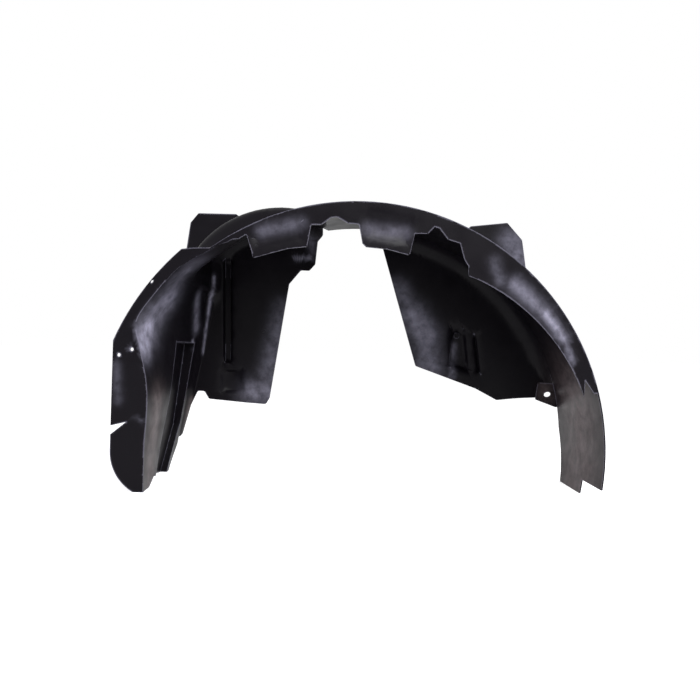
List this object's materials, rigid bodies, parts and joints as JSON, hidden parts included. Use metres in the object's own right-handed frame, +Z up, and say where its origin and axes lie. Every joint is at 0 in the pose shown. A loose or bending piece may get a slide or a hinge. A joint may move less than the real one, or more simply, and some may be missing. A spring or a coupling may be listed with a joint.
{
  "type": "wheel arch liner",
  "caption": "Black moulded plastic liner for a front wheel arch: an arched barrel with inboard walls, a broad leg, a narrow tail and a stepped front edge.",
  "frame": {"origin": "middle of the liner's box in plan, on the surface it stands on", "axes": "+X along the car towards the narrow tail, +Y inboard, away from the outer face, +Z up"},
  "size_m": [0.8438, 0.273, 0.5321],
  "materials": {
    "black_polypropylene": "smooth moulded black polypropylene with a soft sheen, scuffed"
  },
  "bodies": {
    "root": {"wheel_arch_liner": "black_polypropylene"}
  },
  "joints": []
}
